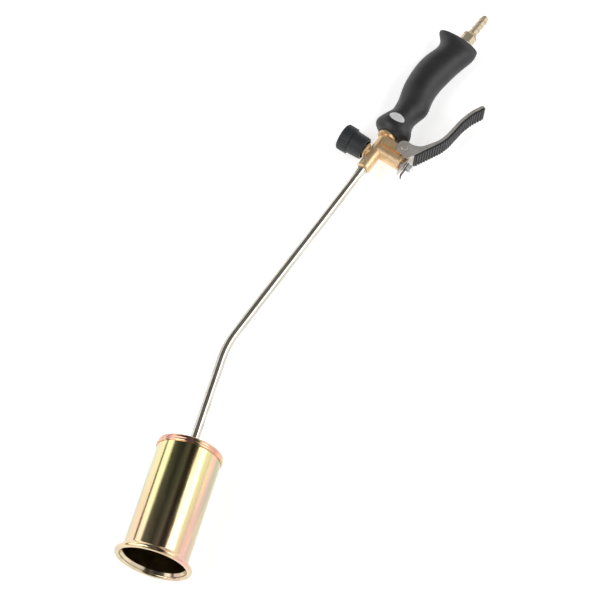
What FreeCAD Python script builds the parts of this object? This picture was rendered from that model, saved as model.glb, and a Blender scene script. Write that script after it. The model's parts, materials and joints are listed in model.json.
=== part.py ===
"""Hand-held propane torch with a 60 mm bell, a lever shut-off valve and a flame regulator.

Design frame, in millimetres: the main tube lies along X, the gas comes in at +X and the flame
leaves at -X.  The lever is on the -Y side, the regulator knob on the +Y side, and Z is square to
the plane in which the neck bends.  The origin is where the main axis meets the shut-off valve's
axis.  When every piece is made, the whole torch is pitched until the bell's rim and the grip
both touch the ground, and moved so that the origin is the bottom centre of its box.
"""

import FreeCAD, Part
import math
import os

import Sketcher

DRIVING_DIMENSIONS = [
    # name, value, what it is
    ("bell_radius", 30.0, "bell, outside radius"),
    ("bell_wall", 1.0, "bell, sheet thickness"),
    ("bell_length", 113.7, "bell, back edge to mouth"),
    ("rim_rise", 3.3, "rolled rim, how far the middle of the bead stands out from the bell"),
    ("rim_bead", 2.5, "rolled rim, radius of the bead itself"),
    ("rim_flare", 2.5, "bell, length over which the bore opens into the bead"),
    ("cap_sheet", 0.8, "back cap, sheet thickness"),
    ("cap_skirt", 6.0, "back cap, how far its skirt laps the bell"),
    ("cap_corner", 2.3, "back cap, outside corner radius"),
    ("air_hole_radius", 4.0, "air holes in the back cap"),
    ("air_hole_circle", 19.5, "air holes, radius of their circle"),
    ("air_holes", 8, "air holes, count"),
    ("holder_hex", 20.0, "jet holder, across flats"),
    ("holder_collar", 7.0, "jet holder, length of the hexagon"),
    ("holder_thread", 8.0, "jet holder, thread radius"),
    ("holder_thread_length", 6.2, "jet holder, length of the thread"),
    ("holder_nose", 5.0, "jet holder, radius of the nose that carries the jet"),
    ("holder_nose_length", 3.5, "jet holder, length of that nose"),
    ("lock_nut_hex", 22.0, "lock nut inside the bell, across flats"),
    ("lock_nut_height", 4.0, "lock nut inside the bell, height"),
    ("cup_radius", 14.0, "burner cup, outside radius"),
    ("cup_sheet", 1.0, "burner cup, sheet thickness"),
    ("cup_length", 38.0, "burner cup, length"),
    ("cup_port", 2.5, "burner cup, radius of its air ports"),
    ("cup_port_place", 10.5, "burner cup, distance of the ports from its base"),
    ("cup_ports", 6, "burner cup, count of air ports"),
    ("jet_radius", 6.5, "gas jet, outside radius"),
    ("jet_length", 11.0, "gas jet, length"),
    ("jet_orifice", 0.6, "gas jet, radius of the orifice"),
    ("tube_radius", 4.5, "neck tube, outside radius"),
    ("tube_wall", 1.2, "neck tube, wall"),
    ("neck_straight", 256.3, "valve axis to the neck's bend point"),
    ("neck_reach", 109.6, "bend point to the bell's back edge"),
    ("bend_angle", 17.8, "neck bend in degrees"),
    ("bend_radius", 100.0, "neck bend, centre-line radius"),
    ("tube_socket", 6.5, "how deep the neck tube sits in the jet holder"),
    ("ferrule_socket", 3.5, "how deep the neck tube sits in the valve body"),
    ("body_wall", 1.1, "valve body, metal outside the neck spigot's radius"),
    ("body_front", 13.0, "valve axis to the shoulder that the neck nut meets"),
    ("spigot_wall", 1.0, "valve body, wall of the threaded spigot round the neck tube"),
    ("spigot_length", 7.5, "valve body, length of that spigot"),
    ("nut_length", 14.0, "neck nut, length"),
    ("nut_lip", 4.0, "neck nut, thickness of the lip behind the ferrule"),
    ("ferrule_length", 2.5, "brazed ferrule, length"),
    ("flange_radius", 9.4, "valve body, radius of the flange under the grip"),
    ("flange_face", 18.0, "valve axis to the face of the flange"),
    ("flange_thickness", 3.2, "valve body, thickness of the flange"),
    ("boss_length", 23.5, "main axis to the end of the shut-off boss"),
    ("chamber_radius", 4.5, "shut-off valve, radius of the chamber"),
    ("boss_wall", 2.8, "shut-off boss, wall round the chamber"),
    ("seat_depth", 9.0, "main axis to the shut-off seat"),
    ("gas_way", 1.5, "radius of the drilled gas ways"),
    ("gland_thread", 5.3, "shut-off gland, thread radius"),
    ("gland_thread_length", 3.4, "shut-off gland, length of the thread"),
    ("gland_ring", 7.6, "shut-off gland, radius of the ring"),
    ("gland_ring_length", 3.0, "shut-off gland, thickness of the ring"),
    ("gland_recess", 5.6, "shut-off gland, radius of the recess in its face"),
    ("gland_recess_depth", 1.2, "shut-off gland, depth of that recess"),
    ("stem_radius", 2.0, "shut-off stem, radius"),
    ("stem_collar", 4.0, "shut-off stem, radius of the spring collar"),
    ("stem_collar_length", 2.2, "shut-off stem, thickness of the collar"),
    ("disc_thickness", 1.8, "shut-off seal disc, thickness"),
    ("running_gap", 0.05, "radial clearance of a shaft in its bore"),
    ("ring_section", 0.75, "radius of an o-ring's section"),
    ("ring_gap", 0.04, "clearance between an o-ring and its shaft"),
    ("spring_wire", 0.4, "shut-off spring, radius of the wire"),
    ("spring_turns", 3.5, "shut-off spring, turns"),
    ("regulator_offset", 6.7, "valve axis to the regulator's axis, towards the bell"),
    ("regulator_boss", 5.6, "regulator boss, radius"),
    ("regulator_rise", 0.35, "how far the regulator boss stands out of the barrel"),
    ("regulator_seat", 3.6, "main axis to the needle seat"),
    ("needle_orifice", 0.9, "radius of the needle seat's hole"),
    ("regulator_chamber", 2.7, "regulator, radius of the chamber"),
    ("needle_travel", 1.9, "regulator needle, how far it backs off its seat"),
    ("needle_shank", 1.2, "regulator needle, radius of the shank in the spindle"),
    ("needle_shank_length", 5.0, "regulator needle, length of that shank"),
    ("needle_collar", 0.9, "regulator needle, thickness of the collar"),
    ("regulator_collar", 7.1, "regulator gland, radius of the collar"),
    ("regulator_collar_length", 3.0, "regulator gland, length of the collar"),
    ("regulator_thread", 3.7, "regulator gland, thread radius"),
    ("regulator_thread_length", 1.4, "regulator gland, length of the thread"),
    ("spindle_radius", 2.0, "regulator spindle, radius"),
    ("knob_gap", 0.25, "gap between the regulator gland and the knob"),
    ("knob_length", 26.4, "knob, overall length"),
    ("knob_neck", 11.2, "knob, radius at the inner end"),
    ("knob_waist", 12.0, "knob, radius at the step"),
    ("knob_band", 13.4, "knob, radius over the ribbed band"),
    ("knob_band_length", 11.2, "knob, length of the ribbed band"),
    ("knob_wall", 2.2, "knob, wall thickness"),
    ("knob_hub", 4.6, "knob, radius of the hub"),
    ("knob_dome", 0.6, "knob, how far the outer face is domed"),
    ("knob_edge", 1.2, "knob, radius round the outer edge"),
    ("knob_ribs", 30, "knob, count of grooves in the band"),
    ("knob_groove", 0.55, "knob, radius of a groove"),
    ("knob_cap_radius", 5.0, "knob cap, radius"),
    ("knob_cap_thickness", 1.0, "knob cap, thickness"),
    ("screw_radius", 1.25, "knob screw, thread radius"),
    ("screw_head", 2.6, "knob screw, head radius"),
    ("screw_head_height", 1.5, "knob screw, head height"),
    ("screw_length", 6.0, "knob screw, length under the head"),
    ("lug_place", 12.0, "valve axis to the lever pivot, towards the grip"),
    ("lug_reach", 22.1, "main axis to the lever pivot"),
    ("lug_radius", 4.2, "pivot lug, radius of its round end"),
    ("lug_web", 8.2, "pivot lug, length of the web along the main axis"),
    ("lug_overhang", 0.6, "pivot lug, how far the web runs past the pivot"),
    ("lug_half_width", 8.4, "pivot lug, half its width"),
    ("pivot_radius", 2.0, "lever pivot pin, radius"),
    ("pin_head_radius", 3.4, "lever pivot pin, radius of its heads"),
    ("pin_head_height", 0.8, "lever pivot pin, height of its heads"),
    ("lever_half_width", 10.0, "lever, half its width"),
    ("lever_sheet", 1.2, "lever, sheet thickness"),
    ("lever_flange", 3.0, "lever, height of the side flanges along the arm"),
    ("tongue_half_width", 5.0, "lever, half the width of the plate at the stem"),
    ("stem_slot_gap", 0.35, "lever, clearance of the stem slot on each side of the stem"),
    ("stem_slot_travel", 3.6, "lever, how far the slot runs towards the hook"),
    ("stem_slot_relief", 1.8, "lever, how far the slot runs towards the pivot"),
    ("ear_radius", 5.9, "lever, outside radius of the ears round the pivot"),
    ("cover_thickness", 1.9, "lever cover, thickness over the ribs"),
    ("cover_groove", 0.9, "lever cover, depth of the grooves"),
    ("cover_pitch", 3.0, "lever cover, pitch of the ribs"),
    ("cover_rib", 1.9, "lever cover, width of a rib"),
    ("cover_end", 1.2, "lever, depth of the lip in front of the cover at the tip"),
    ("tip_corner", 2.2, "lever, radius of the flange corner at the tip"),
    ("washer_dome", 6.0, "stem washer, radius of its domed face"),
    ("washer_radius", 4.3, "stem washer, radius"),
    ("washer_thickness", 2.2, "stem washer, thickness"),
    ("hook_sheet", 0.9, "lock hook, sheet thickness"),
    ("hook_edge", 0.9, "lock hook, metal beside the stem's hole"),
    ("hook_reach", 13.9, "lock hook, stem axis to its bent end"),
    ("hook_bend", 1.5, "lock hook, length of the bent end"),
    ("hook_heel", 3.4, "lock hook, stem axis to its short end"),
    ("lock_nut_flats", 7.0, "stem lock nut, across flats"),
    ("stem_lock_height", 1.5, "stem lock nut, height"),
    ("cap_nut_flats", 7.6, "stem cap nut, across flats"),
    ("cap_nut_height", 4.8, "stem cap nut, height"),
    ("grip_length", 133.5, "grip, front face to butt"),
    ("grip_clearance", 0.25, "grip, clearance round the supply tube"),
    ("grip_edge", 1.6, "grip, radius round the butt's edge"),
    ("grip_front_edge", 1.2, "grip, radius round the front's edge"),
    ("badge_place", 15.6, "grip front to the middle of the badge"),
    ("badge_half_length", 8.0, "badge, half its length"),
    ("badge_half_width", 4.4, "badge, half its width"),
    ("badge_thickness", 0.4, "badge, thickness"),
    ("supply_radius", 5.0, "supply tube, outside radius"),
    ("supply_tilt", 1.6, "lean of the supply line to the lever's side, in degrees"),
    ("supply_bore", 3.2, "supply tube, radius of the bore"),
    ("supply_thread_length", 7.0, "supply tube, length screwed into the valve body"),
    ("end_washer_radius", 8.0, "end washer behind the grip, radius"),
    ("end_washer_thickness", 1.2, "end washer behind the grip, thickness"),
    ("seal_thickness", 1.0, "tail seal, thickness"),
    ("tail_hex", 13.0, "hose tail, across flats"),
    ("tail_hex_length", 9.0, "hose tail, length of the hexagon"),
    ("tail_cone", 3.4, "hose tail, length of the cone in front of the barbs"),
    ("tail_root", 3.85, "hose tail, radius between the barbs"),
    ("tail_crest", 4.5, "hose tail, radius of the barbs"),
    ("tail_land", 0.9, "hose tail, length of the land on each barb"),
    ("tail_pitch", 6.0, "hose tail, pitch of the barbs"),
    ("tail_barbs", 4, "hose tail, count of barbs"),
    ("tail_bore", 2.5, "hose tail, radius of the bore"),
    ("tail_thread", 4.0, "hose tail, thread radius"),
    ("tail_thread_length", 10.0, "hose tail, length of the thread"),
]

# Grip sections: share of the grip's length, middle, half height and half thickness.  The last one
# is the butt, square to the leaning supply line.
GRIP_SECTIONS = [
    (0.000, -0.4, 12.6, 12.2),
    (0.035, -0.7, 16.8, 14.2),
    (0.075, -0.35, 19.15, 15.2),
    (0.120, 0.1, 16.9, 14.8),
    (0.150, 0.1, 15.2, 14.4),
    (0.202, -0.8, 13.45, 13.35),
    (0.240, -1.2, 13.8, 13.3),
    (0.315, -1.6, 15.9, 13.4),
    (0.400, 1.0, 16.6, 13.8),
    (0.530, 3.5, 16.9, 14.0),
    (0.660, 3.0, 17.8, 13.9),
    (0.780, 0.4, 17.6, 13.5),
    (0.870, -2.2, 17.7, 13.0),
    (0.930, -1.6, 19.7, 12.0),
    (0.970, 0.9, 21.6, 10.4),
    (1.000, 1.9, 22.0, 8.6),
]

# Lever, seen from its pivot: the outer face of its sheet, from the end beyond the stem to the
# tip, with the radius of each corner.
LEVER_LINE = [
    ((-22.4, -7.57), 0.0),
    ((-6.8, -9.9), 5.0),
    ((0.0, -13.7), 14.0),
    ((26.0, -26.3), 24.0),
    ((35.0, -28.6), 30.0),
    ((58.0, -30.6), 60.0),
    ((71.0, -33.7), 40.0),
    ((83.5, -39.5), 0.0),
]
EAR_CORNERS = [
    ((-9.4, -8.9), 0.0),
    ((-6.6, 6.9), 5.9),
    ((6.9, 6.7), 5.9),
    ((7.0, -11.4), 14.0),
    ((28.0, -24.5), 0.0),
    ((22.0, -23.7), 0.0),
    ((0.0, -13.0), 0.0),
    ((-6.4, -9.4), 0.0),
]
FLANGE_START = 18.0
COVER_START = -2.0


class Size:
    """A number together with the sheet expression that gives it."""

    def __init__(self, number, text):
        self.number = float(number)
        self.text = text

    @staticmethod
    def of(value):
        if isinstance(value, Size):
            return value
        return Size(value, repr(float(value)))

    def __add__(self, other):
        other = Size.of(other)
        return Size(self.number + other.number, f"({self.text} + {other.text})")

    def __sub__(self, other):
        other = Size.of(other)
        return Size(self.number - other.number, f"({self.text} - {other.text})")

    def __mul__(self, other):
        other = Size.of(other)
        return Size(self.number * other.number, f"({self.text} * {other.text})")

    def __truediv__(self, other):
        other = Size.of(other)
        return Size(self.number / other.number, f"({self.text} / {other.text})")

    def __radd__(self, other):
        return Size.of(other) + self

    def __rsub__(self, other):
        return Size.of(other) - self

    def __rmul__(self, other):
        return Size.of(other) * self

    def __neg__(self):
        return Size(-self.number, f"(0 - {self.text})")


class Sizes:
    """The driving dimensions, each a Size under its own name."""


doc = FreeCAD.newDocument("PropaneTorch")
sheet = doc.addObject("Spreadsheet::Sheet", "Dimensions")
sheet.Label = "driving dimensions"
d = Sizes()
for row, (name, value, note) in enumerate(DRIVING_DIMENSIONS, start=1):
    sheet.set(f"A{row}", name)
    sheet.set(f"B{row}", str(value))
    sheet.set(f"C{row}", note)
    sheet.setAlias(f"B{row}", name)
    setattr(d, name, Size(value, f"Dimensions.{name}"))
doc.recompute()

d.rim_radius = d.bell_radius + d.rim_rise
d.spigot_radius = d.tube_radius + d.spigot_wall
d.body_radius = d.spigot_radius + d.body_wall
d.boss_radius = d.chamber_radius + d.boss_wall
d.regulator_boss_end = d.body_radius + d.regulator_rise
d.knob_inner_end = d.regulator_boss_end + d.regulator_collar_length + d.knob_gap
d.stem_slot_half_width = d.stem_radius + d.stem_slot_gap
d.grip_bore = d.supply_radius + d.grip_clearance

parts = {}       # label -> the object that is the sub-part
stations = {}    # label -> its place in the design frame
X_AXIS = FreeCAD.Vector(1, 0, 0)
Y_AXIS = FreeCAD.Vector(0, 1, 0)
Z_AXIS = FreeCAD.Vector(0, 0, 1)


def place(x=0.0, y=0.0, z=0.0, axis=Z_AXIS, angle=0.0):
    """A placement from numbers or sizes."""
    base = FreeCAD.Vector(Size.of(x).number, Size.of(y).number, Size.of(z).number)
    return FreeCAD.Placement(base, FreeCAD.Rotation(axis, Size.of(angle).number))


def register(thing, label, station=None):
    """Note a finished sub-part and where it goes."""
    thing.Label = label
    parts[label] = thing
    stations[label] = station or FreeCAD.Placement()
    return thing


# ---------------------------------------------------------------- sketches and features

def origin_plane(body, role):
    return [item for item in body.Origin.OriginFeatures if item.Role == role][0]


def new_sketch(body, name, role="XY_Plane", along_normal=None):
    """A sketch on one of the body's own planes, moved along the plane's normal if asked."""
    sketch = body.newObject("Sketcher::SketchObject", name)
    sketch.AttachmentSupport = [(origin_plane(body, role), "")]
    sketch.MapMode = "FlatFace"
    if along_normal is not None:
        sketch.setExpression(".AttachmentOffset.Base.z", Size.of(along_normal).text)
    return sketch


def bind(sketch, constraint, size):
    """Add a constraint and tie its value to the sheet."""
    index = sketch.addConstraint(constraint)
    name = f"size_{index}"
    sketch.renameConstraint(index, name)
    sketch.setExpression(f"Constraints.{name}", size.text)


def pin_point(sketch, geometry, end, point):
    """Fix one end of an edge at a point given by sizes."""
    for kind, axis, value in (("DistanceX", -2, point[0]), ("DistanceY", -1, point[1])):
        size = Size.of(value)
        if size.number == 0.0:
            sketch.addConstraint(Sketcher.Constraint("PointOnObject", geometry, end, axis))
        else:
            bind(sketch, Sketcher.Constraint(kind, -1, 1, geometry, end, size.number), size)


def flat(point):
    return FreeCAD.Vector(Size.of(point[0]).number, Size.of(point[1]).number, 0)


def arc_edge(start, end, radius):
    """An arc under half a turn; its centre is left of the way from start to end if radius > 0."""
    middle = (start + end) * 0.5
    chord = end - start
    left = FreeCAD.Vector(-chord.y, chord.x, 0)
    left.normalize()
    rise = math.sqrt(max(radius * radius - (chord.Length / 2) ** 2, 0.0))
    centre = middle + left * math.copysign(rise, radius)
    first, last = (start, end) if radius > 0 else (end, start)
    circle = Part.Circle(centre, Z_AXIS, abs(radius))
    angle_first = math.atan2(first.y - centre.y, first.x - centre.x)
    angle_last = math.atan2(last.y - centre.y, last.x - centre.x)
    if angle_last <= angle_first:
        angle_last += 2 * math.pi
    return Part.ArcOfCircle(circle, angle_first, angle_last)


def outline(sketch, points, arcs=None):
    """A closed outline; arcs gives the radius of a side that is round, signed as in arc_edge."""
    arcs = arcs or {}
    count = len(points)
    ends = []
    for side in range(count):
        start, end = flat(points[side]), flat(points[(side + 1) % count])
        if side in arcs:
            radius = Size.of(arcs[side])
            geometry = sketch.addGeometry(arc_edge(start, end, radius.number))
            ends.append((geometry, 1, 2) if radius.number > 0 else (geometry, 2, 1))
        else:
            geometry = sketch.addGeometry(Part.LineSegment(start, end))
            ends.append((geometry, 1, 2))
    for side in range(count):
        geometry, first, last = ends[side]
        following = ends[(side + 1) % count]
        sketch.addConstraint(
            Sketcher.Constraint("Coincident", geometry, last, following[0], following[1]))
    for side, point in enumerate(points):
        pin_point(sketch, ends[side][0], ends[side][1], point)
    for side, radius in arcs.items():
        size = Size.of(radius) if Size.of(radius).number > 0 else -Size.of(radius)
        bind(sketch, Sketcher.Constraint("Radius", ends[side][0], size.number), size)


def ring(sketch, x, y, radius):
    """A circle at a point given by sizes."""
    geometry = sketch.addGeometry(Part.Circle(flat((x, y)), Z_AXIS, Size.of(radius).number))
    pin_point(sketch, geometry, 3, (x, y))
    bind(sketch, Sketcher.Constraint("Radius", geometry, Size.of(radius).number), Size.of(radius))


def turned(label, points, arcs=None, station=None):
    """A sub-part turned about X; points are (place along the axis, radius)."""
    body = doc.addObject("PartDesign::Body", label)
    sketch = new_sketch(body, f"{label}_profile")
    outline(sketch, points, arcs)
    feature = body.newObject("PartDesign::Revolution", f"{label}_turning")
    feature.Profile = sketch
    feature.ReferenceAxis = (sketch, ["H_Axis"])
    feature.Angle = 360.0
    doc.recompute()
    return register(body, label, station)


def cut_through(body, sketch, length, name):
    """Cut the sketch out of the body, half of the length to each side of the sketch."""
    before = body.Shape.Volume
    pocket = body.newObject("PartDesign::Pocket", name)
    pocket.Profile = sketch
    pocket.SideType = "Symmetric"
    pocket.setExpression("Length", Size.of(length).text)
    doc.recompute()
    check_smaller(body, before, name)
    return pocket


def check_smaller(body, before, name):
    if body.Shape.Volume > before - 0.05:
        raise RuntimeError(f"{name} cut nothing")


def around(body, feature, count, name, angle=360.0):
    """Repeat a feature about the body's X axis."""
    before = body.Shape.Volume
    pattern = body.newObject("PartDesign::PolarPattern", name)
    pattern.Originals = [feature]
    pattern.Axis = (origin_plane(body, "X_Axis"), [""])
    pattern.Angle = angle
    pattern.setExpression("Occurrences", Size.of(count).text)
    body.Tip = pattern
    doc.recompute()
    check_smaller(body, before, name)
    return pattern


def hexagon(across_flats):
    """Corners of a hexagon of that width, with a corner on the sketch's first axis."""
    corner = across_flats / math.sqrt(3)
    half = across_flats / (2 * math.sqrt(3))
    rise = across_flats / 2
    return [(corner, 0), (half, rise), (-half, rise), (-corner, 0), (-half, -rise), (half, -rise)]


def cut_hexagon(body, name, across_flats, start, length):
    """Mill six flats on a collar that begins at start."""
    sketch = new_sketch(body, f"{name}_sketch", "YZ_Plane", start + length / 2)
    outline(sketch, hexagon(across_flats))
    ring(sketch, 0, 0, across_flats)
    cut_through(body, sketch, length, name)


def hex_corner(across_flats):
    return across_flats / math.sqrt(3)


# ---------------------------------------------------------------- bell

end_of_neck = math.radians(d.bend_angle.number)
bell_direction = FreeCAD.Vector(-math.cos(end_of_neck), -math.sin(end_of_neck), 0)
bend_point = FreeCAD.Vector(-d.neck_straight.number, 0, 0)
bell_back = bend_point + bell_direction * d.neck_reach.number
bell_station = place(bell_back.x, bell_back.y, 0, Z_AXIS, 180 + d.bend_angle.number)


def make_bell():
    root_radius = d.rim_radius - d.bell_radius
    bead_middle = d.bell_length - d.rim_bead
    bead_back = bead_middle - d.rim_bead
    bore = d.bell_radius - d.bell_wall
    points = [
        (0, d.bell_radius),
        (bead_back - root_radius, d.bell_radius),
        (bead_back, d.rim_radius),
        (bead_middle, d.rim_radius + d.rim_bead),
        (d.bell_length, d.rim_radius),
        (bead_middle, d.rim_radius - d.rim_bead),
        (bead_middle - d.rim_flare, bore),
        (0, bore),
    ]
    arcs = {1: root_radius, 2: -d.rim_bead, 3: -d.rim_bead, 4: -d.rim_bead}
    turned("burner_bell", points, arcs, bell_station)


def make_back_cap():
    outside = d.bell_radius + d.cap_sheet
    points = [
        (-d.cap_sheet, d.holder_thread),
        (0, d.holder_thread),
        (0, d.bell_radius),
        (d.cap_skirt, d.bell_radius),
        (d.cap_skirt, outside),
        (d.cap_skirt * 0.55, outside),
        (d.cap_corner - d.cap_sheet, outside),
        (-d.cap_sheet, outside - d.cap_corner),
    ]
    arcs = {4: d.cap_skirt * 0.40, 5: d.cap_skirt * 0.40, 6: d.cap_corner}
    body = turned("bell_back_cap", points, arcs, bell_station)
    sketch = new_sketch(body, "air_hole_sketch", "YZ_Plane")
    ring(sketch, d.air_hole_circle, 0, d.air_hole_radius)
    hole = cut_through(body, sketch, 4 * d.cap_sheet, "air_hole")
    around(body, hole, d.air_holes, "air_hole_ring")


def make_jet_holder():
    collar_start = -d.cap_sheet - d.holder_collar
    corner = hex_corner(d.holder_hex)
    chamfer = 1.2
    socket_end = collar_start + d.tube_socket
    thread_end = d.holder_thread_length
    nose_end = thread_end + d.holder_nose_length
    bore = d.tube_radius - d.tube_wall
    points = [
        (collar_start, d.tube_radius),
        (collar_start, corner - chamfer),
        (collar_start + chamfer, corner),
        (-d.cap_sheet, corner),
        (-d.cap_sheet, d.holder_thread),
        (thread_end, d.holder_thread),
        (thread_end, d.holder_nose),
        (nose_end, d.holder_nose),
        (nose_end, bore),
        (socket_end, bore),
        (socket_end, d.tube_radius),
    ]
    body = turned("jet_holder", points, None, bell_station)
    cut_hexagon(body, "jet_holder_flats", d.holder_hex, collar_start, d.holder_collar)


def make_burner_cup():
    bore = d.cup_radius - d.cup_sheet
    points = [
        (0, d.holder_thread),
        (0, d.cup_radius),
        (d.cup_length, d.cup_radius),
        (d.cup_length, bore),
        (d.cup_sheet, bore),
        (d.cup_sheet, d.holder_thread),
    ]
    body = turned("burner_cup", points, None, bell_station)
    sketch = new_sketch(body, "cup_port_sketch", "XY_Plane", d.cup_radius)
    ring(sketch, d.cup_port_place, 0, d.cup_port)
    port = cut_through(body, sketch, 4 * d.cup_sheet, "cup_port")
    around(body, port, d.cup_ports, "cup_port_ring")


def make_bell_lock_nut():
    end = d.cup_sheet + d.lock_nut_height
    corner = hex_corner(d.lock_nut_hex)
    points = [
        (d.cup_sheet, d.holder_thread),
        (d.cup_sheet, corner),
        (end - 0.8, corner),
        (end, corner - 0.8),
        (end, d.holder_thread),
    ]
    body = turned("bell_lock_nut", points, None, bell_station)
    cut_hexagon(body, "bell_lock_nut_flats", d.lock_nut_hex, d.cup_sheet, d.lock_nut_height)


def make_gas_jet():
    start = d.holder_thread_length
    seat = start + d.holder_nose_length
    end = start + d.jet_length
    points = [
        (start, d.holder_nose),
        (start, d.jet_radius),
        (end - 3.5, d.jet_radius),
        (end, d.jet_radius - 3.0),
        (end, d.jet_orifice),
        (end - 3.0, d.jet_orifice),
        (seat + 0.8, d.tube_radius - d.tube_wall),
        (seat, d.tube_radius - d.tube_wall),
        (seat, d.holder_nose),
    ]
    turned("gas_jet", points, None, bell_station)


# ---------------------------------------------------------------- neck

def make_neck_tube():
    """A tube swept along two straight runs and the arc between them."""
    body = doc.addObject("PartDesign::Body", "neck_tube")
    turn_text = "(Dimensions.bend_angle * 1 deg)"
    cosine = Size(math.cos(end_of_neck), f"cos{turn_text}")
    sine = Size(math.sin(end_of_neck), f"sin{turn_text}")
    half_tangent = Size(math.tan(end_of_neck / 2), f"tan({turn_text} / 2)")
    tangent_length = d.bend_radius * half_tangent
    start = d.body_front + d.spigot_length - d.ferrule_socket
    holder_end = d.neck_reach - d.cap_sheet - d.holder_collar
    last_run = holder_end + d.tube_socket
    points = [
        (-start, 0),
        (-(d.neck_straight - tangent_length), 0),
        (-(d.neck_straight + tangent_length * cosine), -(tangent_length * sine)),
        (-(d.neck_straight + last_run * cosine), -(last_run * sine)),
    ]
    path = new_sketch(body, "neck_path")
    corners = [flat(point) for point in points]
    run = path.addGeometry(Part.LineSegment(corners[0], corners[1]))
    bend = path.addGeometry(arc_edge(corners[1], corners[2], d.bend_radius.number))
    lower = path.addGeometry(Part.LineSegment(corners[2], corners[3]))
    path.addConstraint(Sketcher.Constraint("Coincident", run, 2, bend, 1))
    path.addConstraint(Sketcher.Constraint("Coincident", bend, 2, lower, 1))
    pin_point(path, run, 1, points[0])
    pin_point(path, run, 2, points[1])
    pin_point(path, lower, 1, points[2])
    pin_point(path, lower, 2, points[3])
    bind(path, Sketcher.Constraint("Radius", bend, d.bend_radius.number), d.bend_radius)

    section = new_sketch(body, "neck_section", "YZ_Plane", -start)
    ring(section, 0, 0, d.tube_radius)
    ring(section, 0, 0, d.tube_radius - d.tube_wall)
    doc.recompute()
    sweep = body.newObject("PartDesign::AdditivePipe", "neck_sweep")
    sweep.Profile = section
    sweep.Spine = path
    doc.recompute()
    register(body, "neck_tube")


def make_neck_fittings():
    """The ferrule brazed on the tube and the nut that pulls it against the valve body."""
    toward_bell = place(-d.body_front, 0, 0, Z_AXIS, 180)
    ferrule_end = d.spigot_length + d.ferrule_length
    clear = 0.1
    turned("neck_ferrule", [
        (d.spigot_length, d.tube_radius),
        (d.spigot_length, d.spigot_radius - clear),
        (ferrule_end - 0.6, d.spigot_radius - clear),
        (ferrule_end, d.spigot_radius - clear - 0.5),
        (ferrule_end, d.tube_radius),
    ], None, toward_bell)
    lip_start = d.nut_length - d.nut_lip
    turned("neck_nut", [
        (0, d.spigot_radius),
        (0, d.body_radius - 0.1),
        (0.4, d.body_radius + 0.2),
        (d.nut_length - 1.2, d.body_radius + 0.2),
        (d.nut_length, d.body_radius - 1.0),
        (d.nut_length, d.tube_radius + clear + 0.5),
        (d.nut_length - 0.6, d.tube_radius + clear),
        (lip_start, d.tube_radius + clear),
        (lip_start, d.spigot_radius),
    ], None, toward_bell)


# ---------------------------------------------------------------- valve body

supply_station = place(d.flange_face, 0, 0, Z_AXIS, -d.supply_tilt)


def cylinder(name, radius, length, station):
    """A plain cylinder that starts at the station and runs along its Z."""
    solid = doc.addObject("Part::Cylinder", name)
    solid.setExpression("Radius", Size.of(radius).text)
    solid.setExpression("Height", Size.of(length).text)
    solid.Placement = station
    return solid


def along_x(x, y=0.0):
    return place(x, y, 0, Y_AXIS, 90)


def along_y(x, y, z=0.0):
    return place(x, y, z, X_AXIS, -90)


def against_y(x, y, z=0.0):
    return place(x, y, z, X_AXIS, 90)


def drilled(name, radius, start, end):
    """A drilled way between two points of the main plane."""
    way = FreeCAD.Vector(*end) - FreeCAD.Vector(*start)
    turn = FreeCAD.Rotation(Z_AXIS, way)
    solid = doc.addObject("Part::Cylinder", name)
    solid.setExpression("Radius", Size.of(radius).text)
    solid.Height = way.Length
    solid.Placement = FreeCAD.Placement(FreeCAD.Vector(*start), turn)
    return solid


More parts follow.
